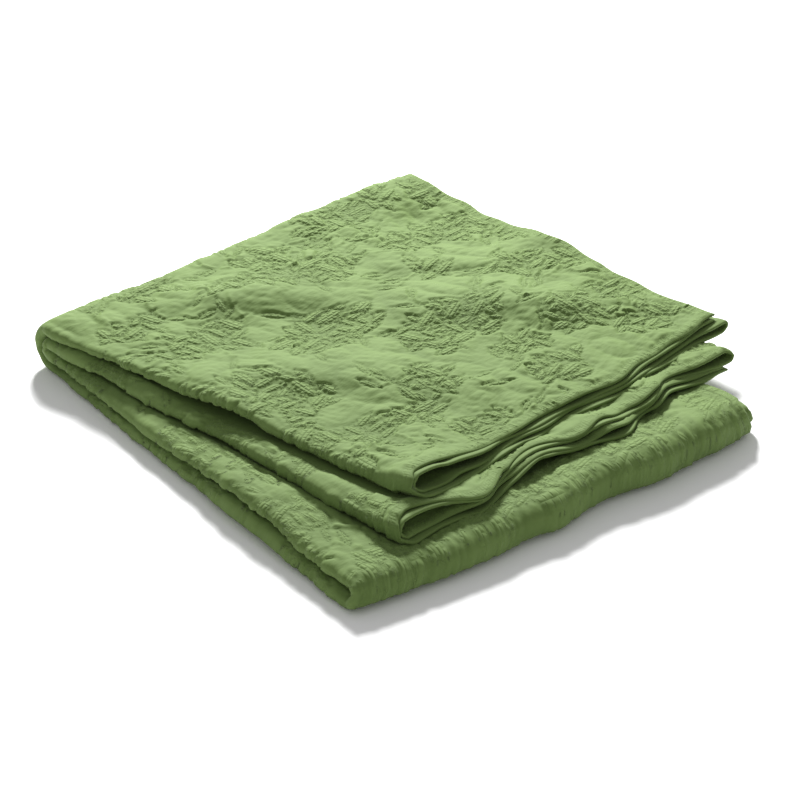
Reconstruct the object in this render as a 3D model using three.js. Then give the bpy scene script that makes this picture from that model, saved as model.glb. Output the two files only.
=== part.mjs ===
// A duvet cover of puckered cotton, folded in quarters across and then in quarters along.
// It is one cloth: every layer, fold and hem belongs to the same closed sheet.
// Millimetres, +Z up. The plan is laid out from the front corner of the stack's lowest fold:
// X runs along the side where the hems show and Y along the side where the folds show.
import * as THREE from "three";

// The folded stack
const WIDTH = 560; // a quarter of the cloth's 2.2 m
const DEPTH = 630; // a quarter of the cloth's 2.4 m, with what its turns take up
const CLOTH = 2; // thickness of the puckered cotton
const PITCH = 4; // from one layer to the next
const LAYERS = 4; // layers in each quarter
const QUARTER = PITCH * LAYERS; // height of one folded quarter
const HALF = QUARTER / 2;

// Heights of the four quarters' middles, from the surface up
const LEVEL = { bottom: HALF, lower: 3 * HALF, upper: 5 * HALF, top: 7 * HALF };
const STACK = LEVEL.top + HALF;

// Across the width: the outer layer goes round the other three
const OUTER = 1.5 * PITCH; // the outer layer's distance from a quarter's middle
const INNER = 0.5 * PITCH; // the inner layer's
const OUTER_END = WIDTH - 6; // free edge of the outer layer
const INNER_END = WIDTH - 11; // free edge of the inner layer
const OUTER_TURN = { x: 12, reach: 18 }; // the outer layer's turn, soft and long
const INNER_TURN = { x: 4, reach: 2.4 }; // the inner layers' turn, inside the outer one

// Along the depth: centres and reaches of the turns
const TURN_LINE = DEPTH - 30; // where the quarters begin to turn over at the back
const BACK_OUTER = { y: TURN_LINE + 2, reach: 22 };
const BACK_INNER = { y: TURN_LINE - 2, reach: 8 };
const FRONT = { y: 12, reach: 8 };
const HEM = 0; // both hems end here before the quarters are turned on each other
const HEM_STEP = { top: 0.9, upper: 0.8 }; // how far each hem lies back for its rise in a quarter

// Corners of the layers in plan, at some heights of the stack. Each quarter lies turned a
// little further than the one below it. front and right are the ends of the hems' side, left
// and back the ends of the line where the quarters begin to turn over.
const CORNERS = [
  { z: 13, front: [0, 0], right: [568, 0], left: [0, 600], back: [563, 608] },
  { z: 19, front: [10, 4], right: [568, 0], left: [0, 600], back: [563, 609] },
  { z: 31, front: [14, 4], right: [566, 2], left: [0, 600], back: [566, 613] },
  { z: 34, front: [85, 26], right: [606, 74], left: [0, 600], back: [566, 613] },
  { z: 46, front: [87, 28], right: [607, 76], left: [1, 600], back: [568, 614] },
  { z: 50, front: [128, 58], right: [642, 126], left: [2, 600], back: [572, 617] },
  { z: 62, front: [131, 61], right: [644, 130], left: [3, 601], back: [573, 618] },
];

// Hollows, where the layers above a height are lifted off those below it: the place and reach
// of the hollow in plan, and how far it opens.
const HOLLOWS = [
  { name: "front fold", level: 16, x: 380, y: -6, reachX: 330, reachY: 66, opens: 10 },
  { name: "front fold, right", level: 12, x: 480, y: -10, reachX: 200, reachY: 60, opens: 6 },
  { name: "front corner", level: 20, x: 0, y: -10, reachX: 60, reachY: 42, opens: 9 },
  { name: "lowest fold", level: 8, x: -8, y: 150, reachX: 70, reachY: 130, opens: 11 },
  { name: "second fold", level: 24, x: 14, y: 250, reachX: 50, reachY: 170, opens: 2.5 },
  { name: "third fold", level: 40, x: 66, y: 190, reachX: 60, reachY: 120, opens: 2.5 },
  { name: "tunnel", level: 48, x: 54, y: 335, reachX: 60, reachY: 90, opens: 9 },
  { name: "third fold's mouth", level: 40, x: 96, y: 10, reachX: 60, reachY: 75, opens: 9 },
  { name: "top fold's mouth", level: 56, x: 140, y: 45, reachX: 70, reachY: 75, opens: 8 },
  { name: "hem wave, left", level: 36, x: 200, y: 10, reachX: 50, reachY: 55, opens: 3 },
  { name: "hem wave, middle", level: 36, x: 385, y: 20, reachX: 54, reachY: 66, opens: 6 },
  { name: "under the hem, left", level: 32, x: 286, y: 20, reachX: 50, reachY: 60, opens: 6 },
  { name: "under the hem, right", level: 32, x: 490, y: 30, reachX: 52, reachY: 64, opens: 5 },
  { name: "back left turn", level: 48, x: 0, y: 600, reachX: 60, reachY: 60, opens: 4 },
  { name: "overhang", level: 32, x: 730, y: 110, reachX: 95, reachY: 180, opens: -8 },
];

// Slow swells of the whole stack, least at its foot
const SWELLS = [
  { x: 300, y: 520, reachX: 120, reachY: 90, rise: 3 },
  { x: 180, y: 400, reachX: 90, reachY: 70, rise: -2.5 },
  { x: 430, y: 300, reachX: 110, reachY: 100, rise: 2.5 },
  { x: 300, y: 200, reachX: 80, reachY: 70, rise: -2 },
  { x: 340, y: 640, reachX: 260, reachY: 90, rise: 6 },
  { x: 565, y: 640, reachX: 50, reachY: 50, rise: 5 },
];

// The front fold's end is rounded off in plan, and its face swells out towards the front.
const ROUND_END = { reach: 12, depth: 60, below: 31 };
const FRONT_FACE = { swell: 7, depth: 40, foot: 2, head: 31 };

// Steps of the mesh: every layer of a quarter has the same ones, so that none crosses the next
const LAYER_STEPS = 9; // across a layer
const QUARTER_STEPS = 8; // along a quarter
const CROWDING = 0.45; // how far the steps of a straight run gather at its ends
const TINY = 0.02; // step for measuring a slope

const clamp01 = (f) => Math.min(1, Math.max(0, f));
const smooth = (f) => clamp01(f) ** 2 * (3 - 2 * clamp01(f));
const mix = (a, b, f) => a + (b - a) * f;
const bell = (row, x, y) =>
  Math.exp(-(((x - row.x) / row.reachX) ** 2) - ((y - row.y) / row.reachY) ** 2);

// A straight run of a folded strip in its own plane: a point and a direction at each step.
// The steps are closer together near both of its ends.
function straight(from, to, steps) {
  const length = Math.hypot(to[0] - from[0], to[1] - from[1]);
  const along = [(to[0] - from[0]) / length, (to[1] - from[1]) / length];
  return Array.from({ length: steps }, (_, i) => {
    const f = mix(i / steps, smooth(i / steps), CROWDING);
    return { at: [mix(from[0], to[0], f), mix(from[1], to[1], f)], along };
  });
}

// A half turn on an ellipse, from one angle through half a circle, either way round.
function halfTurn(centre, radii, start, way, steps) {
  return Array.from({ length: steps }, (_, i) => {
    const angle = start + (way * Math.PI * i) / steps;
    const along = [-way * radii[0] * Math.sin(angle), way * radii[1] * Math.cos(angle)];
    const length = Math.hypot(...along);
    return {
      at: [centre[0] + radii[0] * Math.cos(angle), centre[1] + radii[1] * Math.sin(angle)],
      along: [along[0] / length, along[1] / length],
    };
  });
}

// Across: x, and the height over the quarter's middle
function acrossRun() {
  const up = Math.PI / 2;
  return [
    ...straight([OUTER_END, OUTER], [OUTER_TURN.x, OUTER], LAYER_STEPS),
    ...halfTurn([OUTER_TURN.x, 0], [OUTER_TURN.reach, OUTER], up, 1, 6),
    ...straight([OUTER_TURN.x, -OUTER], [WIDTH, -OUTER], LAYER_STEPS),
    ...halfTurn([WIDTH, -PITCH], [INNER, INNER], -up, 1, 4),
    ...straight([WIDTH, -INNER], [INNER_TURN.x, -INNER], LAYER_STEPS),
    ...halfTurn([INNER_TURN.x, 0], [INNER_TURN.reach, INNER], -up, -1, 4),
    ...straight([INNER_TURN.x, INNER], [INNER_END, INNER], LAYER_STEPS),
    { at: [INNER_END, INNER], along: [1, 0] },
  ];
}

// Along: y, and the height of the quarter's middle. hemStep sets the hems of a quarter's layers
// back from each other, and fades out over the first steps behind them.
function alongRun() {
  const up = Math.PI / 2;
  const steps = [
    ...straight([HEM, LEVEL.top], [BACK_OUTER.y, LEVEL.top], QUARTER_STEPS),
    ...halfTurn([BACK_OUTER.y, STACK / 2], [BACK_OUTER.reach, 3 * HALF], up, -1, 8),
    ...straight([BACK_OUTER.y, LEVEL.bottom], [FRONT.y, LEVEL.bottom], QUARTER_STEPS),
    ...halfTurn([FRONT.y, QUARTER], [FRONT.reach, HALF], -up, -1, 7),
    ...straight([FRONT.y, LEVEL.lower], [BACK_INNER.y, LEVEL.lower], QUARTER_STEPS),
    ...halfTurn([BACK_INNER.y, STACK / 2], [BACK_INNER.reach, HALF], -up, 1, 5),
    ...straight([BACK_INNER.y, LEVEL.upper], [HEM, LEVEL.upper], QUARTER_STEPS),
    { at: [HEM, LEVEL.upper], along: [-1, 0] },
  ];
  const fades = [1, 0.6, 0.25];
  fades.forEach((share, i) => {
    steps[i].hemStep = HEM_STEP.top * share;
    steps[steps.length - 1 - i].hemStep = -HEM_STEP.upper * share;
  });
  return steps;
}

// The plan corners at a height, between the two rows that enclose it
function cornersAt(z) {
  const above = CORNERS.findIndex((row) => row.z > z);
  if (above === 0) return CORNERS[0];
  if (above < 0) return CORNERS[CORNERS.length - 1];
  const [low, high] = [CORNERS[above - 1], CORNERS[above]];
  const f = smooth((z - low.z) / (high.z - low.z));
  const between = (key) => [mix(low[key][0], high[key][0], f), mix(low[key][1], high[key][1], f)];
  return {
    front: between("front"),
    right: between("right"),
    left: between("left"),
    back: between("back"),
  };
}

// Lays a point of the perfectly folded stack where the real, turned and puffed one has it.
function lay(x, y, z) {
  const [a, b] = [x / WIDTH, Math.min(1, y / TURN_LINE)];
  const corner = cornersAt(z);
  const plan = [0, 1].map((i) =>
    mix(mix(corner.front[i], corner.right[i], a), mix(corner.left[i], corner.back[i], a), b),
  );
  plan[1] += Math.max(0, y - TURN_LINE);
  if (z < ROUND_END.below) {
    const near = clamp01((ROUND_END.depth + FRONT.y - HALF - OUTER - y) / ROUND_END.depth);
    plan[0] -= ROUND_END.reach * near ** 2 * clamp01(a) ** 6 * smooth((ROUND_END.below - z) / 2);
    const up = clamp01((z - FRONT_FACE.foot) / (FRONT_FACE.head - FRONT_FACE.foot));
    plan[1] -= FRONT_FACE.swell * Math.sin(Math.PI * up) * smooth(1 - y / FRONT_FACE.depth);
  }
  const lifted = HOLLOWS.reduce(
    (sum, row) => sum + row.opens * bell(row, ...plan) * smooth((z - row.level) / PITCH + 0.5),
    z,
  );
  const share = Math.max(0, (z - INNER) / STACK);
  const swell = SWELLS.reduce((sum, row) => sum + row.rise * bell(row, ...plan), 0);
  return new THREE.Vector3(plan[0], plan[1], lifted + swell * share);
}

// The middle of the cloth at one step across and one along, with the cloth's normal there
function clothAt(across, along) {
  const [dy, dz] = along.along;
  const [x, rise] = across.at;
  const back = rise * (along.hemStep ?? 0);
  const place = [x, along.at[0] - rise * dz + back, along.at[1] + rise * dy];
  const middle = lay(...place);
  const slope = (way) => {
    const ahead = lay(...place.map((v, i) => v + TINY * way[i]));
    return ahead.sub(lay(...place.map((v, i) => v - TINY * way[i])));
  };
  const alongX = slope([across.along[0], -across.along[1] * dz, across.along[1] * dy]);
  const alongY = slope([0, dy, dz]);
  return { middle, normal: alongX.cross(alongY).normalize() };
}

// One closed sheet: two faces half a thickness off the middle, and a rim along all four edges
function foldedCloth() {
  const acrossSteps = acrossRun();
  const alongSteps = alongRun();
  const [columns, rows] = [acrossSteps.length, alongSteps.length];
  const positions = [];
  for (const side of [1, -1])
    for (const along of alongSteps)
      for (const across of acrossSteps) {
        const { middle, normal } = clothAt(across, along);
        positions.push(...middle.addScaledVector(normal, (side * CLOTH) / 2));
      }
  const corner = (face, row, column) => (face * rows + row) * columns + column;
  const faces = [];
  const quad = (a, b, c, d) => faces.push(a, b, c, a, c, d);
  for (let row = 0; row < rows - 1; row++)
    for (let column = 0; column < columns - 1; column++) {
      const ring = [
        [row, column],
        [row, column + 1],
        [row + 1, column + 1],
        [row + 1, column],
      ];
      quad(...ring.map((p) => corner(0, ...p)));
      quad(...ring.reverse().map((p) => corner(1, ...p)));
    }
  const rim = (r1, c1, r2, c2) =>
    quad(corner(0, r2, c2), corner(0, r1, c1), corner(1, r1, c1), corner(1, r2, c2));
  for (let column = 0; column < columns - 1; column++) {
    rim(0, column, 0, column + 1);
    rim(rows - 1, column + 1, rows - 1, column);
  }
  for (let row = 0; row < rows - 1; row++) {
    rim(row + 1, 0, row, 0);
    rim(row, columns - 1, row + 1, columns - 1);
  }
  const geometry = new THREE.BufferGeometry();
  geometry.setAttribute("position", new THREE.Float32BufferAttribute(positions, 3));
  geometry.setIndex(faces);
  geometry.computeVertexNormals();
  return geometry;
}

// The origin is under the middle of the stack, on the surface it rests on.
function centreOnSurface(geometry) {
  geometry.computeBoundingBox();
  const { min, max } = geometry.boundingBox;
  geometry.translate(-(min.x + max.x) / 2, -(min.y + max.y) / 2, -min.z);
  return geometry;
}

const cotton = new THREE.MeshStandardMaterial({
  color: 0x77a764,
  roughness: 0.9,
  metalness: 0,
  side: THREE.DoubleSide,
});

const cover = new THREE.Mesh(centreOnSurface(foldedCloth()), cotton);
cover.name = "folded_cover";

const group = new THREE.Group();
group.add(cover);

export default group;
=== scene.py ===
import math

import bpy
import numpy as np
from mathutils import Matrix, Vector


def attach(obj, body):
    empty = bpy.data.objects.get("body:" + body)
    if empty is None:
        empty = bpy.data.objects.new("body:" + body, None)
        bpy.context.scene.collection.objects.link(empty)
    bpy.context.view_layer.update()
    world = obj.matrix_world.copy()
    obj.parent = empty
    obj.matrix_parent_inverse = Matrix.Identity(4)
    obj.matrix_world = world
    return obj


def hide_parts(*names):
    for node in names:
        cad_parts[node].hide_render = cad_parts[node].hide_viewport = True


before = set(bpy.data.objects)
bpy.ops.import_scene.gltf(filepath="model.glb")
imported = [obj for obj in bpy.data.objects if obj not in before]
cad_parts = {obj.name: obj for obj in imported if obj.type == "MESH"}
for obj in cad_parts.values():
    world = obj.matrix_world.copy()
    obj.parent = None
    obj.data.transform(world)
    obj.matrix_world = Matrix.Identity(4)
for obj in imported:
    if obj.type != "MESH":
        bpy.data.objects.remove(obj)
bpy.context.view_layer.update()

MM = 0.001
PLAN_CENTRE = (319.146, 317.299, 1.0)  # middle of the solid's box in the plan, and its foot

# The fold, as in the solid
WIDTH = 560  # from the side with the folded edges to the closed fold
TURN_LINE = 600  # from the front to the turns at the back
PITCH = 4  # from one layer to the next
LEVEL = {"bottom": 8, "lower": 24, "upper": 40, "top": 56}  # middle of each quarter
STACK = 64
OUTER, INNER = 6, 2  # outer and inner layers, from the middle of their quarter
OUTER_END, INNER_END = 554, 549
OUTER_TURN, OUTER_TURN_REACH = 12, 18
INNER_TURN, INNER_TURN_REACH = 4, 2.4
BACK_OUTER, BACK_OUTER_REACH = 602, 22
BACK_INNER, BACK_INNER_REACH = 598, 8
FRONT, FRONT_REACH = 12, 8
STRAIGHT_STEP, TURN_STEPS = 0.5, 80

# How far a layer's hem stands back for each millimetre of height, and how that fades inwards
HEM_STEP = {"top": 0.9, "upper": 0.8}
HEM_STEP_FADE = ([0, 53, 125, 210], [1, 0.6, 0.25, 0])

# Height, then the plan corners there: front, right, left and back
CORNERS = np.array([
    [13, 0, 0, 568, 0, 0, 600, 563, 608],
    [19, 6, 3, 568, 0, 0, 600, 563, 609],
    [31, 11, 3, 566, 2, 0, 600, 566, 613],
    [34, 85, 26, 606, 74, 0, 600, 566, 613],
    [46, 87, 28, 607, 76, 1, 600, 568, 614],
    [50, 128, 58, 642, 126, 2, 600, 572, 617],
    [62, 131, 61, 644, 130, 3, 601, 573, 618],
], float)

# Where the layers above a level are lifted: level, x, y, reach in x and y, how far, and how much
# of that a fold's own turn at this level is pushed out to the left, so that it stays round
HOLLOWS = [
    (16, 380, -6, 330, 66, 10, 0),  # front fold
    (12, 480, -10, 200, 60, 6, 0),
    (20, 0, -10, 60, 42, 3, 0),  # front corner
    (8, -8, 190, 70, 110, 11, 0.4),  # lowest fold
    (24, 14, 250, 50, 170, 2.5, 0.4),
    (40, 66, 190, 60, 120, 2.5, 0.4),
    (48, 66, 322, 46, 62, 11, 0),  # tunnel under the top fold
    (52, 14, 480, 45, 110, -1.7, 0),  # the top fold's edge, pressed flat towards the left
    (56, 14, 480, 45, 110, -1.7, 0),
    (60, 14, 480, 45, 110, -1.7, 0),
    (40, 110, 20, 52, 62, 15, 0.5),  # mouths of the third and the top fold
    (56, 158, 54, 62, 62, 18, 0.5),
    (36, 200, 10, 50, 55, 3, 0),  # under the waves of the hems
    (36, 385, 30, 34, 50, 9, 0),
    (32, 288, 26, 36, 40, 15, 0),
    (32, 490, 50, 36, 42, 12, 0),
    (52, 640, 120, 46, 44, 8, -0.5),  # the closed folds at the right, seen between the hems
    (44, 600, 70, 50, 46, 8, -0.5),
    (32, 730, 110, 95, 180, -8, 0),  # overhang at the right, which sinks
]

# How far the hems swing forward: place and reach along the hem, how far, and how much further
# the cloth's second layer goes there than its first
HEM_SWINGS = {
    "top": [(0, 110, 2, 16), (355, 70, 12, 0)],
    "upper": [
        (0, 60, 0, -14), (112, 36, 17, 16), (219, 42, -3.5, -13), (280, 26, 7, 4),
        (335, 40, 17, -15), (405, 26, 12, 6), (470, 34, -10, -4),
    ],
}
HEM_SWING_DEPTH = 120

# Small unevenness that each layer's edges have of their own: how far, and over what length
HEM_UNEVEN, HEM_UNEVEN_LENGTH, HEM_UNEVEN_FROM, HEM_UNEVEN_FADE = 1.6, 85, 30, 120
SIDE_UNEVEN, SIDE_UNEVEN_LENGTH, SIDE_REACH = 1.8, 80, 90
EDGE_RIPPLE, EDGE_RIPPLE_LENGTH = 0.7, 60
LAYER_SHIFT = 9  # how far the waves move on, for each millimetre between two layers

# Ridges across the top quarter: depth from the front corner, how wide on the near and the far
# side, and height
DEPTH_WAY = (0.611, 0.792)  # the way from the front corner to the rear, which the ridges cross
RIDGES = [
    (150, 60, 110, 4.0),
    (345, 28, 90, 10.0),
    (520, 34, 80, 13.5),
    (622, 16, 60, 4.5),
    (795, 40, 60, 11.0),
]
RIDGE_WANDERS = [(14, 95), (6, 31)]  # how far a ridge wanders from straight, and how slowly
RIDGE_LEAST, RIDGE_VARIES, RIDGE_VARIES_OVER, RIDGE_OWN = 0.85, 0.3, 55, 2.1
RIDGES_ABOVE, RIDGES_RISE = 42, 8  # the layers below this height have none
RIDGES_START = 110  # how far from the front they reach their full height
RIDGES_BACK, RIDGES_BACK_FADE, RIDGES_BACK_LOSS = 480, 120, 0.8

# Slow swells and dents of the stack: x, y, reach in x and y, and rise
SWELLS = [
    (300, 520, 120, 90, 3),
    (180, 400, 90, 70, -2.5),
    (430, 300, 110, 100, 2.5),
    (300, 200, 80, 70, -2),
    (410, 640, 120, 90, 14.4),
    (545, 620, 60, 60, 10),
    (600, 385, 50, 45, 12),
    (590, 515, 50, 35, -4),
    (520, 550, 40, 30, -13),
    (610, 235, 60, 50, -8),
]

# How far the front fold bulges forward, at places along it
FRONT_BULGE = (
    [-20, 24, 72, 120, 216, 264, 312, 336, 408, 504, 552, 590],
    [0, 3, 9, 14, 15, 17, 9, 9, 17, 13, 6, 8],
)
BULGE_DEPTH = 140
FACE_SWELL, FACE_DEPTH, FACE_FOOT, FACE_HEAD = 7, 40, 2, 31  # its round face between the turns
FACE_FLATTER, FACE_FOLD, FACE_FOLD_LENGTH, FACE_FOLD_STRETCH = 0.35, 0.7, 19, 3
FACE_BEFORE, FACE_AFTER = 30, 40  # how far under and over the stack the face's folds fade
ROUND_END, ROUND_DEPTH, ROUND_BELOW, ROUND_FADE = 12, 60, 31, 2  # its rounded end at the right
FOOT_OUT = 8  # how far the lowest layers stick out at the right
FOOT_FROM, FOOT_REACH, FOOT_BELOW, FOOT_FADE = 470, 90, 20, 8

# The cloth
HALF_CLOTH = 1.0  # half the thickness of the puckered cotton
HEM_HALF = 1.9  # half the thickness of the turned hem
HEM_FULL, HEM_FADE = 8, 12  # how far in the hem is thick, and how softly that ends
HEM_BAND = 18  # width of the hem
HEM_RISE, HEM_RUFFLE, HEM_RUFFLE_LENGTH, HEM_RUFFLE_STRETCH = 0.3, 0.9, 8, 9
EDGE_ROUND = 3  # the relief comes down to the plain cloth this close to its edge
PIT = 0.5  # how deep a pit in the relief may be
NO_PIT, NO_PIT_FADE, PIT_FILL = 44, 24, 0.8  # and beside the hem there is none
SEAM_AT = 66  # x on the second layer where the outer and inner pieces of a quarter meet
FLAT_SCALE = 2.5  # metres of flat cloth over the whole of its UV map

# The cords that fill a leaf
CORD = 5  # from one cord of a leaf to the next
NICK = 8.5  # from one nick to the next along a cord
NICK_SHIFT = 0.37  # how far a cord's nicks are from those of the cord beside it, in nicks
NICK_STEEP = 1.8  # how much steeper a nick is than the cord's own round
HEM_CORD = 1.7  # how much closer the hem's cords are
HEM_CORD_SHARE = 0.5  # and how strong
CORD_HEIGHT = 0.75

# The ground's finest puckers, 12.5 by 6.7 mm, as a count in a metre each way. Yarns are about
# 0.5 mm apart, and are drawn as grain of 1.1 mm, the finest that shows. The dye's patches are
# about 110 mm wide.
PUCKERS, PUCKER_HEIGHT = (80, 150), 0.8
GRAIN, GRAIN_HEIGHT = 900, 0.05
PATCHES = 9

# The dark and the pale green, at two tones from 0 to 1, and what makes the tone, with painted shade
# from the relief's height: darker in its hollows, paler on its crests
GREENS = ((0.1, "#556b32"), (0.9, "#657c41"))
PLAIN_TONE, LIFT_PAINTED_SHADE, CORD_PALER, PATCH_PALER = 0.30, 0.16, 0.10, 0.25

# The ground of the weave: height, length and seed of its slow waves, puffs and crumples
GROUND_WAVE, GROUND_WAVE_LENGTH, GROUND_WAVE_SEED = 0.8, 90, 3
PUFF, PUFF_LENGTH, PUFF_SEED, PUFF_ROUND = 1.3, 58, 4, 0.8
CRUMPLE, CRUMPLE_LENGTH, CRUMPLE_SEED, CRUMPLE_STRETCH = 0.4, 19, 5, 1.5
GROUND_LIFT = 1.6  # keeps the cloth as thick as it is plain where a cluster draws it in
GATHER = 1.7  # how far a cluster draws the cloth in

# A leaf's lift, notched edge, the groove round it, and where its dome and its cords begin
LEAF_LIFT = 0.7
NOTCH, NOTCH_LENGTH = 0.16, 7
GROOVE, GROOVE_WIDTH, BORDER = 1.1, 1.8, 1.6
DOME_EDGE, CORDS_FROM, CORDS_FADE, LEAF_BLUNT = 5, 0.4, 2, 0.7

# The relief's grid, and how far it goes over the flat cloth
CELL = 1.25
REACH_ACROSS, REACH_ALONG = (-30, 1190), (-30, 2520)
CLUSTER = 118  # from one cluster of leaves to the next
CLUSTER_ROW = 0.87  # and from row to row, as a share of that
CLUSTER_STRAY = 14
CLUSTER_ACROSS, CLUSTER_ALONG = (30, 52), (28, 46)  # least and most reach each way
CLUSTER_SPREAD = 1.15  # how far past its reach a cluster's last leaves are
RAGGED = (0.6, 1.15)  # where its edge may be, as a share of that
LEAF_GAP, LEAF_ROW = 15, 8.5  # from one leaf to the next in a cluster
LEAF_STRAY = (6, 5)
LEAF_LENGTH, LEAF_WIDTH, LEAF_DOME = (24, 42), (0.2, 0.28), (0.7, 1.5)  # half width by length
RIDGE_WAY = 0.658  # angle on the flat cloth of the way that the top's ridges run
LEAF_SLANT, LEAF_SLANT_STRAY = 0.85, 0.25

# The stems out of each cluster, and the narrow leaves on a stem: where, how they turn off it,
# their length, half width and dome
STEMS = 3
STEM_LENGTH, STEM_BOW, STEM_HALF, STEM_RISE = (60, 95), 0.3, 2.9, 1.5
STEM_LEAVES, STEM_LEAF_TURN = (0.7, 0.98), (0.5, 1.0)
STEM_LEAF_LENGTH, STEM_LEAF_HALF, STEM_LEAF_DOME = (26, 36), (3.6, 5), 1.0

# Clusters of leaves on the top: place across and along the cloth, and reach each way
TOP_CLUSTERS = [
    (152, 578, 55, 28), (87, 584, 26, 26), (68, 461, 52, 36), (136, 462, 16, 18),
    (255, 472, 38, 32), (359, 512, 34, 18), (314, 490, 26, 18), (354, 344, 52, 44),
    (244, 238, 62, 44), (504, 518, 32, 22), (472, 432, 46, 30), (506, 262, 44, 46),
    (490, 125, 30, 30), (366, 158, 34, 28), (425, 112, 26, 20), (393, 36, 32, 24),
    (75, 299, 40, 22), (34, 262, 26, 20), (119, 139, 38, 34), (59, 69, 44, 30),
    (34, 152, 26, 30), (226, 141, 28, 26), (232, 66, 34, 22), (282, 548, 28, 22),
    (560, 163, 30, 28), (568, 86, 26, 26), (20, 380, 22, 30), (430, 590, 36, 22),
    (580, 330, 22, 34), (588, 470, 20, 40), (24, 560, 20, 26), (160, 372, 20, 18),
]
TOP_END_ACROSS, TOP_END_ALONG = 600, 640  # the top's share of the flat cloth

# Where a quarter is open past the one above it: depth of the strip along the front at its left
# end, how much deeper it is at the right, width of the strip along the left at its front end, and
# how softly the two strips end
OPEN_LOWER = (34, 48, 80, 14, 14)
OPEN_UPPER = (38, 20, 38, 14, 12)
UNDERSIDE, UNDERSIDE_FADE = 3, 8  # the cloth is pressed flat up to this height


def smooth(f):
    """From 0 to 1 without a corner, and level beyond."""
    f = np.clip(f, 0, 1)
    return f * f * (3 - 2 * f)


def hump(x, at, reach):
    return np.exp(-(((x - at) / reach) ** 2))


def bell(x, y, at_x, at_y, reach_x, reach_y):
    return np.exp(-(((x - at_x) / reach_x) ** 2) - ((y - at_y) / reach_y) ** 2)


def waves(u, v, length, seed, count=9, stretch=1.0):
    """Soft irregular waves of about one length, from -1 to 1 or so, longer along v by stretch."""
    own = np.random.default_rng(seed)
    total = 0
    for _ in range(count):
        angle, phase = own.uniform(0, 2 * np.pi, 2)
        turns = 2 * np.pi / (length * own.uniform(0.75, 1.35))
        total = total + np.sin(turns * (np.cos(angle) * u + np.sin(angle) * v / stretch) + phase)
    return total / math.sqrt(count / 2)


def straight(start, end):
    """Points and directions along a line from one point to another."""
    start, end = np.array(start, float), np.array(end, float)
    length = np.linalg.norm(end - start)
    share = np.arange(0, length, STRAIGHT_STEP)[:, None] / length
    return start + (end - start) * share, np.repeat([(end - start) / length], len(share), 0)


def half_turn(centre, radii, start, way):
    """Points and directions round half an ellipse, either way."""
    angle = start + way * np.pi * np.arange(0, 1, 1 / TURN_STEPS)
    at = np.stack([centre[0] + radii[0] * np.cos(angle), centre[1] + radii[1] * np.sin(angle)], 1)
    along = way * np.stack([-radii[0] * np.sin(angle), radii[1] * np.cos(angle)], 1)
    return at, along / np.linalg.norm(along, axis=1)[:, None]


class Run:
    """A folded strip in its own plane, which gives a point and a direction at any length."""

    def __init__(self, parts, end, end_along):
        self.at = np.concatenate([part[0] for part in parts] + [[end]])
        self.along = np.concatenate([part[1] for part in parts] + [[end_along]])
        step = np.linalg.norm(np.diff(self.at, axis=0), axis=1)
        self.length = np.concatenate([[0], np.cumsum(step)])
        starts = np.cumsum([0] + [len(part[0]) for part in parts])
        self.marks = self.length[starts]

    def where(self, length):
        at = [np.interp(length, self.length, self.at[:, i]) for i in (0, 1)]
        along = [np.interp(length, self.length, self.along[:, i]) for i in (0, 1)]
        return np.stack(at, 1), np.stack(along, 1)


# Across the cloth, a point is its x and its height over the middle of the quarter. Along the
# cloth, it is its y and the height of that middle.
UP = np.pi / 2
ACROSS = Run(
    [
        straight((OUTER_END, OUTER), (OUTER_TURN, OUTER)),
        half_turn((OUTER_TURN, 0), (OUTER_TURN_REACH, OUTER), UP, 1),
        straight((OUTER_TURN, -OUTER), (WIDTH, -OUTER)),
        half_turn((WIDTH, -PITCH), (INNER, INNER), -UP, 1),
        straight((WIDTH, -INNER), (INNER_TURN, -INNER)),
        half_turn((INNER_TURN, 0), (INNER_TURN_REACH, INNER), -UP, -1),
        straight((INNER_TURN, INNER), (INNER_END, INNER)),
    ],
    (INNER_END, INNER),
    (1, 0),
)
ALONG = Run(
    [
        straight((0, LEVEL["top"]), (BACK_OUTER, LEVEL["top"])),
        half_turn((BACK_OUTER, STACK / 2), (BACK_OUTER_REACH, 24), UP, -1),
        straight((BACK_OUTER, LEVEL["bottom"]), (FRONT, LEVEL["bottom"])),
        half_turn((FRONT, 16), (FRONT_REACH, 8), -UP, -1),
        straight((FRONT, LEVEL["lower"]), (BACK_INNER, LEVEL["lower"])),
        half_turn((BACK_INNER, STACK / 2), (BACK_INNER_REACH, 8), -UP, 1),
        straight((BACK_INNER, LEVEL["upper"]), (0, LEVEL["upper"])),
    ],
    (0, LEVEL["upper"]),
    (-1, 0),
)
FIRST, ROLL, SECOND, FOLD, THIRD, CORE, FOURTH, ACROSS_END = ACROSS.marks
TOP, BACK, BOTTOM, FACE, LOWER, BACK_CORE, UPPER, ALONG_END = ALONG.marks


def ridges(x, y):
    """Height of the top quarter's ridges, steep on the side of the front corner."""
    across = DEPTH_WAY[1] * x - DEPTH_WAY[0] * y
    depth = DEPTH_WAY[0] * x + DEPTH_WAY[1] * y
    for far, slowly in RIDGE_WANDERS:
        depth = depth + far * np.sin(across / slowly)
    height = 0
    for row, (at, near, far, rise) in enumerate(RIDGES):
        varies = np.sin(across / RIDGE_VARIES_OVER + RIDGE_OWN * row)
        own = rise * (RIDGE_LEAST + RIDGE_VARIES * varies)
        height = height + own * hump(depth, at, np.where(depth < at, near, far))
    return height


def corners_at(z):
    row = np.clip(np.searchsorted(CORNERS[:, 0], z, side="right"), 1, len(CORNERS) - 1)
    low, high = CORNERS[row - 1], CORNERS[row]
    share = smooth((z - low[..., 0]) / (high[..., 0] - low[..., 0]))[..., None]
    return low[..., 1:] + (high[..., 1:] - low[..., 1:]) * share


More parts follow.
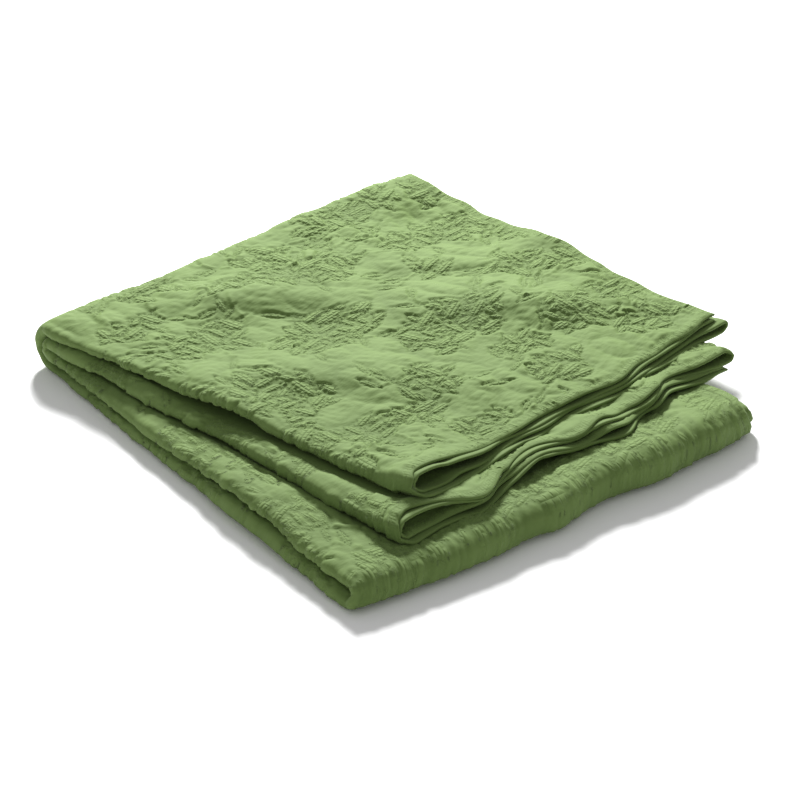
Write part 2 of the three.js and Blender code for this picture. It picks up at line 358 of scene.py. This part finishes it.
def lay_in_plan(x, y, z):
    """Turns each quarter as it lies, and gives the front fold its bulge and its rounded end."""
    a, b = (x / WIDTH)[..., None], np.minimum(1, y / TURN_LINE)[..., None]
    corner = corners_at(z)
    front = corner[..., 0:2] + (corner[..., 2:4] - corner[..., 0:2]) * a
    back = corner[..., 4:6] + (corner[..., 6:8] - corner[..., 4:6]) * a
    plan = front + (back - front) * b
    px, py = plan[..., 0], plan[..., 1] + np.maximum(0, y - TURN_LINE)
    foremost = FRONT - FRONT_REACH - OUTER
    near = np.clip((ROUND_DEPTH + foremost - y) / ROUND_DEPTH, 0, 1)
    rounding = near**2 * np.clip(a[..., 0], 0, 1) ** 6 * smooth((ROUND_BELOW - z) / ROUND_FADE)
    px = px - ROUND_END * rounding
    up = np.clip((z - FACE_FOOT) / (FACE_HEAD - FACE_FOOT), 0, 1)
    swell = FACE_SWELL * np.sin(np.pi * up) * smooth(1 - y / FACE_DEPTH)
    swell = swell + np.interp(px, *FRONT_BULGE) * smooth(1 - y / BULGE_DEPTH)
    py = py - np.where(z < FACE_HEAD, swell, 0)
    px = px + FOOT_OUT * smooth((x - FOOT_FROM) / FOOT_REACH) * smooth((FOOT_BELOW - z) / FOOT_FADE)
    return px, py


def lay(place):
    """Lays a point of the perfectly folded stack where the real, turned and puffed one has it."""
    x, y, z = place
    px, py = lay_in_plan(x, y, z)
    lifted = z.copy()
    pushed = np.zeros_like(z)
    for level, *row, opens, outward in HOLLOWS:
        lift = opens * bell(px, py, *row)
        share = smooth((z - level) / PITCH + 0.5)
        lifted += lift * share
        pushed -= outward * np.abs(lift) * 4 * share * (1 - share)
    above = smooth((z - RIDGES_ABOVE) / RIDGES_RISE) * smooth(y / RIDGES_START)
    fade = 1 - RIDGES_BACK_LOSS * smooth((y - RIDGES_BACK) / RIDGES_BACK_FADE)
    lifted += ridges(px, py) * above * fade
    share = np.maximum(0, (z - INNER) / STACK)
    for *row, rise in SWELLS:
        lifted += rise * bell(px, py, *row) * share
    return np.stack([px + pushed, py, lifted], -1)


def cloth(across, along):
    """Middle of the cloth, its normal and its two directions over a grid of lengths."""
    at, way = ACROSS.where(across)
    (x, q), (wx, wq) = at.T, way.T
    at, way = ALONG.where(along)
    (y, z), (dy, dz) = at[:, :, None].transpose(1, 0, 2), way[:, :, None].transpose(1, 0, 2)
    step = HEM_STEP["top"] * np.interp(along, *HEM_STEP_FADE)
    step -= HEM_STEP["upper"] * np.interp(ALONG_END - along, *HEM_STEP_FADE)
    zero = np.zeros((len(along), len(across)))
    swing = zero.copy()
    for quarter, here in (("top", along < BACK), ("upper", along > UPPER)):
        for middle, reach, forward, spread in HEM_SWINGS[quarter]:
            shift = forward - spread * q / (2 * OUTER)
            swing += here[:, None] * shift * hump(x, middle, reach)
    hem = smooth(1 - np.minimum(along, ALONG_END - along) / HEM_SWING_DEPTH)[:, None]
    layer = LAYER_SHIFT * q + zero
    uneven = HEM_UNEVEN * smooth((x - HEM_UNEVEN_FROM) / HEM_UNEVEN_FADE)
    swing += uneven * waves(x + zero, layer, HEM_UNEVEN_LENGTH, 41)
    side = smooth((x - WIDTH + SIDE_REACH) / SIDE_REACH)
    drift = SIDE_UNEVEN * side * waves(y + 8 * q, 0.3 * y - 6 * q, SIDE_UNEVEN_LENGTH, 43)
    ripple = EDGE_RIPPLE * waves(x + 0.7 * y, layer, EDGE_RIPPLE_LENGTH, 42)
    ripple = ripple * np.maximum(hem, side * (y > 0))
    place = np.stack([
        x + drift,
        y - q * dz + q * step[:, None] - swing * hem,
        z + q * dy + ripple * (np.abs(dz) < 0.5),
    ])

    def slope(way, tiny=0.02):
        return lay(place + tiny * way) - lay(place - tiny * way)

    run = slope(np.stack([wx + zero, -wq * dz, wq * dy]))
    rise = slope(np.stack([zero, dy + zero, dz + zero]))
    normal = np.cross(run, rise)
    unit = [v / np.linalg.norm(v, axis=-1)[..., None] for v in (normal, run, rise)]
    return (place, lay(place), *unit)


class Relief:
    """Height of the weave's relief over the flat cloth, and the leaf that each place belongs to."""

    def __init__(self):
        u = np.arange(*REACH_ACROSS, CELL)
        v = np.arange(*REACH_ALONG, CELL)
        self.u, self.v = np.meshgrid(u, v)
        self.leaf = np.full(self.u.shape, -1)
        self.mask = np.zeros(self.u.shape)
        self.stem = np.zeros(self.u.shape)
        self.leaves = []
        puff = np.abs(waves(self.u, self.v, PUFF_LENGTH, PUFF_SEED)) ** PUFF_ROUND
        crumple = np.abs(
            waves(self.u, self.v, CRUMPLE_LENGTH, CRUMPLE_SEED, stretch=CRUMPLE_STRETCH)
        )
        self.level = GROUND_WAVE * waves(self.u, self.v, GROUND_WAVE_LENGTH, GROUND_WAVE_SEED)
        self.level += GROUND_LIFT
        self.height = self.level + PUFF * puff + CRUMPLE * crumple

    def window(self, u, v, reach):
        columns = (np.array([u - reach, u + reach]) - REACH_ACROSS[0]) / CELL
        rows = (np.array([v - reach, v + reach]) - REACH_ALONG[0]) / CELL
        column = slice(*np.clip(columns.astype(int), 0, self.u.shape[1]))
        row = slice(*np.clip(rows.astype(int), 0, self.u.shape[0]))
        return row, column

    def add_leaf(self, u, v, angle, length, half_width, dome):
        """A raised leaf with a notched edge and a groove round it, over what is there."""
        win = self.window(u, v, length / 2 + 4)
        du, dv = self.u[win] - u, self.v[win] - v
        p = du * math.cos(angle) + dv * math.sin(angle)
        q = -du * math.sin(angle) + dv * math.cos(angle)
        taper = np.clip(1 - (2 * p / length) ** 2, 0, 1) ** LEAF_BLUNT
        notched = 1 + NOTCH * np.sin(2 * np.pi * p / NOTCH_LENGTH)
        edge = half_width * taper * notched - np.abs(q)
        inside = edge > -BORDER
        shape = LEAF_LIFT + dome * smooth(edge / DOME_EDGE) - GROOVE * hump(edge, 0, GROOVE_WIDTH)
        mask = smooth((edge - CORDS_FROM) / CORDS_FADE)
        self.height[win] = np.where(inside, self.level[win] + shape, self.height[win])
        self.mask[win] = np.where(inside, mask, self.mask[win])
        self.leaf[win] = np.where(inside, len(self.leaves), self.leaf[win])
        self.leaves.append((u, v, math.cos(angle), math.sin(angle)))

    def gather(self, u, v, reach_u, reach_v):
        """Draws the cloth in at a cluster, so that the plain ground between puffs up."""
        win = self.window(u, v, 2 * max(reach_u, reach_v))
        drop = GATHER * bell(self.u[win], self.v[win], u, v, reach_u, reach_v)
        self.level[win] -= drop
        self.height[win] -= drop

    def add_stem(self, points):
        for u, v in points:
            win = self.window(u, v, STEM_HALF + 3)
            away = np.hypot(self.u[win] - u, self.v[win] - v) / STEM_HALF
            self.stem[win] = np.maximum(self.stem[win], STEM_RISE * np.clip(1 - away**2, 0, 1))

    def at(self, u, v):
        """Height, and the place on its leaf and how much of a leaf it is, at lengths u and v."""
        column = np.clip((u - REACH_ACROSS[0]) / CELL, 0, self.u.shape[1] - 1.001)
        row = np.clip((v - REACH_ALONG[0]) / CELL, 0, self.u.shape[0] - 1.001)
        c, r = column.astype(int), row.astype(int)
        fc, fr = column - c, row - r

        def between(values):
            low = values[r, c] * (1 - fc) + values[r, c + 1] * fc
            high = values[r + 1, c] * (1 - fc) + values[r + 1, c + 1] * fc
            return low * (1 - fr) + high * fr

        leaf = self.leaf[np.rint(row).astype(int), np.rint(column).astype(int)]
        own = np.array(self.leaves)[np.maximum(leaf, 0)]
        du, dv = u - own[..., 0], v - own[..., 1]
        p = du * own[..., 2] + dv * own[..., 3]
        q = -du * own[..., 3] + dv * own[..., 2]
        return between(self.height), p, q, between(self.mask)


def curve(start, end, bow):
    """Points every millimetre and a half on a bowed line between two places."""
    start, end = np.array(start, float), np.array(end, float)
    side = np.array([start[1] - end[1], end[0] - start[0]])
    share = np.arange(0, 1, 1.5 / np.linalg.norm(end - start))[:, None]
    return start + (end - start) * share + side * bow * np.sin(np.pi * share)


def grow_cluster(relief, rng, u, v, reach_u, reach_v):
    """A ragged patch of overlapping leaves, each along one of two slanting ways or nearly so."""
    places = []
    for row, dv in enumerate(np.arange(-reach_v, reach_v + 1, LEAF_ROW)):
        for du in np.arange(-reach_u, reach_u + 1, LEAF_GAP):
            du = du + LEAF_GAP / 2 * (row % 2) + rng.uniform(-LEAF_STRAY[0], LEAF_STRAY[0])
            dv_own = dv + rng.uniform(-LEAF_STRAY[1], LEAF_STRAY[1])
            if math.hypot(du / reach_u, dv_own / reach_v) < rng.uniform(*RAGGED):
                places.append((u + du, v + dv_own))
    rng.shuffle(places)
    for place in places:
        slant = rng.choice([-LEAF_SLANT, LEAF_SLANT])
        slant += rng.uniform(-LEAF_SLANT_STRAY, LEAF_SLANT_STRAY)
        length = rng.uniform(*LEAF_LENGTH)
        half_width = length * rng.uniform(*LEAF_WIDTH)
        relief.add_leaf(*place, RIDGE_WAY + slant, length, half_width, rng.uniform(*LEAF_DOME))


def grow_stem(relief, rng, u, v):
    """A bowed stem out of a cluster, with two narrow leaves."""
    angle = rng.uniform(0, 2 * np.pi)
    away = rng.uniform(*STEM_LENGTH)
    end = (u + away * math.cos(angle), v + away * math.sin(angle))
    stem = curve((u, v), end, rng.uniform(-STEM_BOW, STEM_BOW))
    relief.add_stem(stem)
    for share in STEM_LEAVES:
        place = stem[int(share * (len(stem) - 1))]
        turn = angle + rng.choice([-1, 1]) * rng.uniform(*STEM_LEAF_TURN)
        length = rng.uniform(*STEM_LEAF_LENGTH)
        middle = place + 0.5 * length * np.array([math.cos(turn), math.sin(turn)])
        relief.add_leaf(*middle, turn, length, rng.uniform(*STEM_LEAF_HALF), STEM_LEAF_DOME)


def weave_relief():
    """Clusters of leaves about a hand's width apart, with stems and single leaves between."""
    rng = np.random.default_rng(11)
    relief = Relief()
    clusters = list(TOP_CLUSTERS)
    for row, v in enumerate(np.arange(*REACH_ALONG, CLUSTER * CLUSTER_ROW)):
        for u in np.arange(*REACH_ACROSS, CLUSTER):
            u = u + CLUSTER / 2 * (row % 2) + rng.uniform(-CLUSTER_STRAY, CLUSTER_STRAY)
            stray = v + rng.uniform(-CLUSTER_STRAY, CLUSTER_STRAY)
            place = (u, stray, rng.uniform(*CLUSTER_ACROSS), rng.uniform(*CLUSTER_ALONG))
            if u > TOP_END_ACROSS or stray > TOP_END_ALONG:
                clusters.append(place)
    for cluster in clusters:
        relief.gather(*cluster)
    for u, v, *_ in clusters:
        for _ in range(STEMS):
            grow_stem(relief, rng, u, v)
    for u, v, reach_u, reach_v in clusters:
        grow_cluster(relief, rng, u, v, CLUSTER_SPREAD * reach_u, CLUSTER_SPREAD * reach_v)
    relief.height += np.where(relief.leaf < 0, relief.stem, 0)
    return relief


RELIEF = weave_relief()


def open_past(x, y, deep, deeper, wide, soft_front, soft_left):
    a = x / WIDTH
    b = np.clip(y / TURN_LINE, 0, 1)
    front = smooth((deep + deeper * a - y) / soft_front)
    left = smooth((wide * (1 - b) - x) / soft_left)
    return np.maximum(front, left)


def exposure(s, t, place):
    """How much of the cloth's outer side is in the open: 1 where it shows, 0 between layers."""
    x, y, z = place
    first = smooth((z - UNDERSIDE) / UNDERSIDE_FADE)
    first = np.where(t > LOWER, open_past(x, y, *OPEN_LOWER), first)
    first = np.where(t > BACK_CORE, 0, first)
    second = np.where(t > UPPER, open_past(x, y, *OPEN_UPPER), 0)
    f = np.clip((s - ROLL) / (SECOND - ROLL), 0, 1)
    roll = np.maximum(np.sin(np.pi * f) ** 0.7, np.maximum((1 - f) * first, f * second))
    return np.where(s < ROLL, first, np.where(s < SECOND, roll, second))


def hem_distance(s, t):
    """How far a place is from a long edge of the cloth, and from one of its ends."""
    return np.minimum(s, ACROSS_END - s), np.minimum(t, ALONG_END - t)


def outer_relief(s, t, place):
    """Height of the outer side over the plain cloth, and the place on its cords and their share."""
    height, p, q, cords = RELIEF.at(s, t)
    to_edge, to_end = hem_distance(s, t)
    away = np.minimum(to_edge, to_end)
    height = np.maximum(height, PIT_FILL * smooth((NO_PIT - away) / NO_PIT_FADE) - PIT)

    # The hem is a band with fine ruffles across it, and its own cords
    by_hem = np.where(to_edge < to_end, t, s)
    ruffle = np.abs(waves(by_hem, away, HEM_RUFFLE_LENGTH, 31, stretch=HEM_RUFFLE_STRETCH))
    band = HEM_RISE + HEM_RUFFLE * ruffle
    inward = smooth((away - 0.4 * HEM_BAND) / (0.6 * HEM_BAND))
    rounded = smooth(away / EDGE_ROUND)
    height = (band + (height - band) * inward) * rounded
    on_hem = inward < 0.5
    p, q = np.where(on_hem, away, p), np.where(on_hem, HEM_CORD * by_hem, q)
    cords = np.where(on_hem, HEM_CORD_SHARE * rounded, cords) * np.abs(2 * inward - 1)

    # The front fold's face is stretched smoother, with soft folds up it
    face = smooth((t - FACE + FACE_BEFORE) / FACE_BEFORE)
    face = face * smooth((LOWER + FACE_AFTER - t) / FACE_AFTER)
    folds = np.abs(waves(s, t, FACE_FOLD_LENGTH, 33, stretch=FACE_FOLD_STRETCH))
    height = height * (1 - FACE_FLATTER * face) + FACE_FOLD * face * folds
    shown = exposure(s, t, place)
    return height * shown, p, q, cords * shown


def steps(parts, multiple):
    """Lengths from (start, end, spacing) parts, each with a multiple of that many steps."""
    lengths = []
    for start, end, spacing in parts:
        count = multiple * max(1, math.ceil((end - start) / spacing / multiple))
        lengths.append(np.linspace(start, end, count, endpoint=False))
    return np.concatenate(lengths + [[parts[-1][1]]])


def ring(rows, columns):
    """Places round the edge of a grid, as (row, column), in one closed line."""
    return (
        [(0, c) for c in range(columns - 1)]
        + [(r, columns - 1) for r in range(rows - 1)]
        + [(rows - 1, c) for c in range(columns - 1, 0, -1)]
        + [(r, 0) for r in range(rows - 1, 0, -1)]
    )


def open_edges(across, along, run, rise):
    """The way out of the cloth along its real edges. A piece's other edges have none."""
    outward = np.zeros_like(run)
    if along[0] == 0:
        outward[0] -= rise[0]
    if along[-1] == ALONG_END:
        outward[-1] += rise[-1]
    if across[0] == 0:
        outward[:, 0] -= run[:, 0]
    if across[-1] == ACROSS_END:
        outward[:, -1] += run[:, -1]
    return outward


def inner_faces(few_rows, few_columns, coarse, rim, first):
    """Faces of the inner side. One at the rim takes in all the rim's own points beside it."""
    last = (few_rows - 1, few_columns - 1)

    def vertex(row, column):
        if row in (0, last[0]) or column in (0, last[1]):
            return rim[(row * coarse, column * coarse)]
        return first + (row - 1) * (few_columns - 2) + column - 1

    def side(a, b):
        points = [vertex(*a)]
        if any(a[k] == b[k] and a[k] in (0, last[k]) for k in (0, 1)):
            for i in range(1, coarse):
                points.append(rim[tuple(a[k] * coarse + (b[k] - a[k]) * i for k in (0, 1))])
        return points

    faces = []
    for row in range(few_rows - 1):
        for column in range(few_columns - 1):
            loop = [(row, column), (row, column + 1), (row + 1, column + 1), (row + 1, column)]
            faces.append([v for a, b in zip(loop, loop[1:] + loop[:1]) for v in side(a, b)])
    return faces


def link_mesh(name, points, faces, flat, leaf, lift):
    """Makes the mesh, with its flat lengths as a UV map and what the cloth's material reads."""
    made = bpy.data.meshes.new(name)
    points = (points - PLAN_CENTRE) * MM
    points[:, 2] = np.maximum(points[:, 2], 0)
    made.from_pydata(points.tolist(), [], faces)
    made.attributes.new("leaf", "FLOAT_VECTOR", "POINT").data.foreach_set("vector", leaf.ravel())
    made.attributes.new("lift", "FLOAT", "POINT").data.foreach_set("value", lift)
    loops = np.empty(len(made.loops), np.int32)
    made.loops.foreach_get("vertex_index", loops)
    uv = made.uv_layers.new(name="cloth")
    uv.data.foreach_set("uv", (flat[loops] * MM / FLAT_SCALE).astype(np.float32).ravel())
    made.polygons.foreach_set("use_smooth", [True] * len(made.polygons))
    made.set_sharp_from_angle(angle=math.radians(75))
    piece = bpy.data.objects.new(name, made)
    bpy.context.scene.collection.objects.link(piece)
    return piece


def sheet_mesh(name, across_parts, along_parts, coarse):
    """One closed sheet: a fine outer side, a round rim, and an inner side with fewer faces."""
    across, along = steps(across_parts, coarse), steps(along_parts, coarse)
    place, middle, normal, run, rise = cloth(across, along)
    rows, columns = len(along), len(across)
    s, t = np.meshgrid(across, along)
    away = np.minimum(*hem_distance(s, t))
    thick = 1 - smooth((away - HEM_FULL) / HEM_FADE)
    half = (HALF_CLOTH + (HEM_HALF - HALF_CLOTH) * thick)[..., None]
    relief, p, q, cords = outer_relief(s, t, place)
    outer = middle - normal * (half + relief[..., None])
    inner = middle + normal * half
    outward = open_edges(across, along, run, rise)

    edge = ring(rows, columns)
    r, c = np.array(edge).T
    verts = [outer.reshape(-1, 3)]
    flat = [np.stack([s, t], -1).reshape(-1, 2)]
    rings = [r * columns + c]
    count = rows * columns
    for degrees in (45, 90, 135, 180):
        turn = math.radians(degrees)
        lift = -normal[r, c] * math.cos(turn) + outward[r, c] * math.sin(turn)
        verts.append(middle[r, c] + lift * half[r, c])
        flat.append(np.stack([across[c], along[r]], 1))
        rings.append(np.arange(count, count + len(edge)))
        count += len(edge)
    verts.append(inner[coarse:-1:coarse, coarse:-1:coarse].reshape(-1, 3))
    few = np.meshgrid(across[coarse:-1:coarse], along[coarse:-1:coarse])
    flat.append(np.stack(few, -1).reshape(-1, 2))

    index = np.arange(rows * columns).reshape(rows, columns)
    corners = (index[:-1, :-1], index[1:, :-1], index[1:, 1:], index[:-1, 1:])
    faces = np.stack(corners, -1).reshape(-1, 4).tolist()
    for low, high in zip(rings, rings[1:]):
        after = (np.roll(high, -1), high, low, np.roll(low, -1))
        faces += np.stack(after, 1).tolist()
    rim = {at: int(rings[-1][i]) for i, at in enumerate(edge)}
    few_rows, few_columns = (rows - 1) // coarse + 1, (columns - 1) // coarse + 1
    faces += inner_faces(few_rows, few_columns, coarse, rim, count)

    verts = np.concatenate(verts)
    extra = len(verts) - rows * columns
    leaf = np.stack([p.ravel() * MM, q.ravel() * MM, cords.ravel()], 1)
    leaf = np.concatenate([leaf, np.zeros((extra, 3))]).astype(np.float32)
    lift = np.concatenate([relief.ravel(), np.zeros(extra)]).astype(np.float32)
    piece = link_mesh(name, verts, faces, np.concatenate(flat), leaf, lift)
    return piece, [(a[-1] - a[0]) * MM for a in (across, along)]


def linear(hex_colour):
    channels = [int(hex_colour[i : i + 2], 16) / 255 for i in (1, 3, 5)]
    return (*[c / 12.92 if c < 0.04045 else ((c + 0.055) / 1.055) ** 2.4 for c in channels], 1)


def node(tree, kind, inputs=(), **settings):
    """Adds a node. inputs gives its sockets values, or the nodes or sockets that feed them."""
    made = tree.nodes.new("ShaderNode" + kind)
    for key, value in settings.items():
        setattr(made, key, value)
    for key, value in dict(inputs).items():
        if isinstance(value, bpy.types.Node):
            value = value.outputs[0]
        if isinstance(value, bpy.types.NodeSocket):
            tree.links.new(value, made.inputs[key])
        else:
            made.inputs[key].default_value = value
    return made


def empty_material(name):
    made = bpy.data.materials.new(name)
    made.use_nodes = True
    made.node_tree.nodes.clear()
    return made, made.node_tree


def matelasse_cotton():
    """Dyed cotton, woven double and puckered: matt, with a faint soft sheen and hardly a gloss.

    The weave's leaves are in the mesh. The material gives them their cords, and the ground its
    finest puckers and its grain.
    """
    made, tree = empty_material("matelasse_cotton")
    uv = node(tree, "UVMap", uv_map="cloth")
    leaf = node(tree, "Attribute", attribute_name="leaf", attribute_type="GEOMETRY")
    place = node(tree, "SeparateXYZ", {0: leaf.outputs["Vector"]}).outputs
    lift = node(tree, "Attribute", attribute_name="lift", attribute_type="GEOMETRY").outputs["Fac"]

    # Round cords run along a leaf, and each is nicked across like a row of stitches
    turns = node(tree, "Math", {0: place[1], 1: CORD * MM}, operation="DIVIDE")
    cords = node(tree, "Math", {0: turns, 1: math.pi}, operation="MULTIPLY")
    cords = node(tree, "Math", {0: cords}, operation="SINE")
    cords = node(tree, "Math", {0: cords}, operation="ABSOLUTE")
    shift = node(tree, "Math", {0: turns}, operation="FLOOR")
    shift = node(tree, "Math", {0: shift, 1: NICK_SHIFT}, operation="MULTIPLY")
    nicks = node(
        tree, "Math", {0: place[0], 1: 1 / (NICK * MM), 2: shift}, operation="MULTIPLY_ADD"
    )
    nicks = node(tree, "Math", {0: nicks, 1: math.pi}, operation="MULTIPLY")
    nicks = node(tree, "Math", {0: nicks}, operation="SINE")
    nicks = node(tree, "Math", {0: nicks}, operation="ABSOLUTE")
    nicks = node(tree, "Math", {0: nicks, 1: NICK_STEEP}, operation="MULTIPLY")
    ribs = node(tree, "Math", {0: cords, 1: nicks}, operation="MINIMUM")
    ribs = node(tree, "Math", {0: ribs, 1: place[2]}, operation="MULTIPLY")

    # Fine puckers of the ground, longer along the ridges, and the grain of the yarns
    scale = (FLAT_SCALE * PUCKERS[0], FLAT_SCALE * PUCKERS[1], 1)
    long = node(tree, "Mapping", {"Vector": uv, "Rotation": (0, 0, -RIDGE_WAY), "Scale": scale})
    pucker = node(tree, "TexNoise", {"Vector": long, "Scale": 1.0, "Detail": 2.0})
    scale = (FLAT_SCALE * GRAIN, FLAT_SCALE * GRAIN, 1)
    yarns = node(tree, "Mapping", {"Vector": uv, "Scale": scale})
    grain = node(tree, "TexNoise", {"Vector": yarns, "Scale": 1.0, "Detail": 1.0})

    height = node(tree, "Math", {0: ribs, 1: CORD_HEIGHT}, operation="MULTIPLY")
    for texture, tall in ((pucker, PUCKER_HEIGHT), (grain, GRAIN_HEIGHT)):
        rough = {0: texture.outputs["Fac"], 1: tall, 2: height}
        height = node(tree, "Math", rough, operation="MULTIPLY_ADD")
    bump = node(tree, "Bump", {"Height": height, "Distance": MM, "Strength": 1.0})

    # Painted shade: the relief's hollows are painted darker and its crests paler. The cords' crests
    # are paler too, and the dye takes in soft patches
    patches = node(tree, "TexNoise", {"Vector": uv, "Scale": FLAT_SCALE * PATCHES, "Detail": 3.0})
    tone = node(tree, "Math", {0: lift, 1: LIFT_PAINTED_SHADE, 2: PLAIN_TONE}, operation="MULTIPLY_ADD")
    for source, share in ((ribs.outputs[0], CORD_PALER), (patches.outputs["Fac"], PATCH_PALER)):
        tone = node(tree, "Math", {0: source, 1: share, 2: tone}, operation="MULTIPLY_ADD")
    ramp = node(tree, "ValToRGB", {"Fac": tone})
    for element, (position, colour) in zip(ramp.color_ramp.elements, GREENS):
        element.position = position
        element.color = linear(colour)

    surface = node(tree, "BsdfPrincipled", {
        "Base Color": ramp.outputs["Color"],
        "Roughness": 0.8,
        "Specular IOR Level": 0.3,
        "Sheen Weight": 0.08,
        "Sheen Roughness": 0.45,
        "Sheen Tint": linear("#dbe8c8"),
        "Normal": bump,
    })
    node(tree, "OutputMaterial", {"Surface": surface})
    return made


def white_paper():
    """Matt white paper, as a studio's background is made of."""
    made, tree = empty_material("white_paper")
    surface = node(tree, "BsdfPrincipled", {"Base Color": linear("#fafafa"), "Roughness": 0.9})
    node(tree, "OutputMaterial", {"Surface": surface})
    return made


# The grid of each piece. A row is (from, to, spacing), in lengths across or along the cloth, and
# it is finest where the cloth shows or turns. The pieces meet where other layers cover them.
LAYER_SEAM = SECOND + SEAM_AT - OUTER_TURN
BACK_SEAM = BOTTOM + 16  # under the back, on the surface
CORE_SEAM = BACK_CORE - 12
UPPER_FINE = ALONG_END - 90
HEM_ROWS = (0, 24, 2.2)
OUTER_COLUMNS = [(FIRST, ROLL, 2.2), (ROLL, SECOND, 2.4), (SECOND, LAYER_SEAM, 6)]
INNER_COLUMNS = [
    (LAYER_SEAM, FOLD - 14, 7),
    (FOLD - 14, FOLD, 2.4),
    (FOLD, THIRD, 0.8),
    (THIRD, THIRD + 14, 2.4),
    (THIRD + 14, CORE - 10, 7),
    (CORE - 10, CORE, 2.4),
    (CORE, FOURTH, 0.9),
    (FOURTH, FOURTH + 10, 2.4),
    (FOURTH + 10, ACROSS_END - 24, 7),
    (ACROSS_END - 24, ACROSS_END, 2.4),
]

# A piece's columns, its rows, and how much coarser its inner side is
PIECES = {
    "top_quarter_outer": (
        OUTER_COLUMNS,
        [HEM_ROWS, (24, BACK, 2.2), (BACK, BOTTOM, 2.8), (BOTTOM, BACK_SEAM, 4)],
        4,
    ),
    "top_quarter_inner": (
        INNER_COLUMNS,
        [HEM_ROWS, (24, BACK - 20, 12), (BACK - 20, BACK, 5), (BACK, BOTTOM, 3.6),
         (BOTTOM, BACK_SEAM, 6)],
        1,
    ),
    "front_fold_outer": (
        [(FIRST, ROLL, 2.8)] + OUTER_COLUMNS[1:],
        [(BACK_SEAM, FACE - 30, 4.5), (FACE - 30, FACE, 2.6), (FACE, LOWER, 1.9),
         (LOWER, LOWER + 96, 2.6), (LOWER + 96, CORE_SEAM, 4.5)],
        4,
    ),
    "front_fold_inner": (
        INNER_COLUMNS,
        [(BACK_SEAM, FACE - 30, 9), (FACE - 30, FACE, 4), (FACE, LOWER, 2.2),
         (LOWER, LOWER + 40, 4), (LOWER + 40, CORE_SEAM, 9)],
        1,
    ),
    "upper_quarter_outer": (
        [(FIRST, ROLL, 6)] + OUTER_COLUMNS[1:],
        [(CORE_SEAM, BACK_CORE, 4), (BACK_CORE, UPPER, 2.4), (UPPER, ALONG_END - 24, 4),
         (ALONG_END - 24, ALONG_END, 2.2)],
        1,
    ),
    "upper_quarter_inner": (
        [(LAYER_SEAM, FOLD - 14, 3.2)] + INNER_COLUMNS[1:],
        [(CORE_SEAM, BACK_CORE, 6), (BACK_CORE, UPPER, 2.4), (UPPER, UPPER_FINE, 12),
         (UPPER_FINE, ALONG_END, 2.4)],
        1,
    ),
}

cotton = matelasse_cotton()
for name, (across_parts, along_parts, coarse) in PIECES.items():
    piece, size = sheet_mesh(name, across_parts, along_parts, coarse)
    piece.data.materials.append(cotton)
    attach(piece, "root")
    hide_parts("folded_cover")

bpy.ops.object.select_all(action="DESELECT")
bpy.ops.mesh.primitive_plane_add(size=14, location=(0, 0, 0))
floor = bpy.context.object
floor.name = "floor"
floor.data.materials.append(white_paper())


def aim(thing, place, target):
    thing.location = place
    thing.rotation_euler = (Vector(target) - Vector(place)).to_track_quat("-Z", "Y").to_euler()


# The camera looks down at the front corner from about 33 degrees
camera = bpy.data.objects.new("camera", bpy.data.cameras.new("camera"))
bpy.context.scene.collection.objects.link(camera)
camera.data.sensor_width = 36
camera.data.lens = 117
aim(camera, (-1.6117, -2.0700, 1.6509), (-0.0296, -0.0208, -0.001))
bpy.context.scene.camera = camera

# A soft light behind the stack draws the weave's relief and throws the shadow forward, and a
# white room fills it
lamp = bpy.data.lights.new("key_behind", "AREA")
lamp.shape = "SQUARE"
lamp.size = 0.62
lamp.energy = 240
key = bpy.data.objects.new("key_behind", lamp)
bpy.context.scene.collection.objects.link(key)
aim(key, (1.37, 2.12, 1.94), (0, 0, 0))

world = bpy.data.worlds.new("studio")
world.use_nodes = True
world.node_tree.nodes["Background"].inputs["Color"].default_value = (1, 1, 1, 1)
world.node_tree.nodes["Background"].inputs["Strength"].default_value = 0.48
bpy.context.scene.world = world
bpy.context.scene.view_settings.view_transform = "Standard"
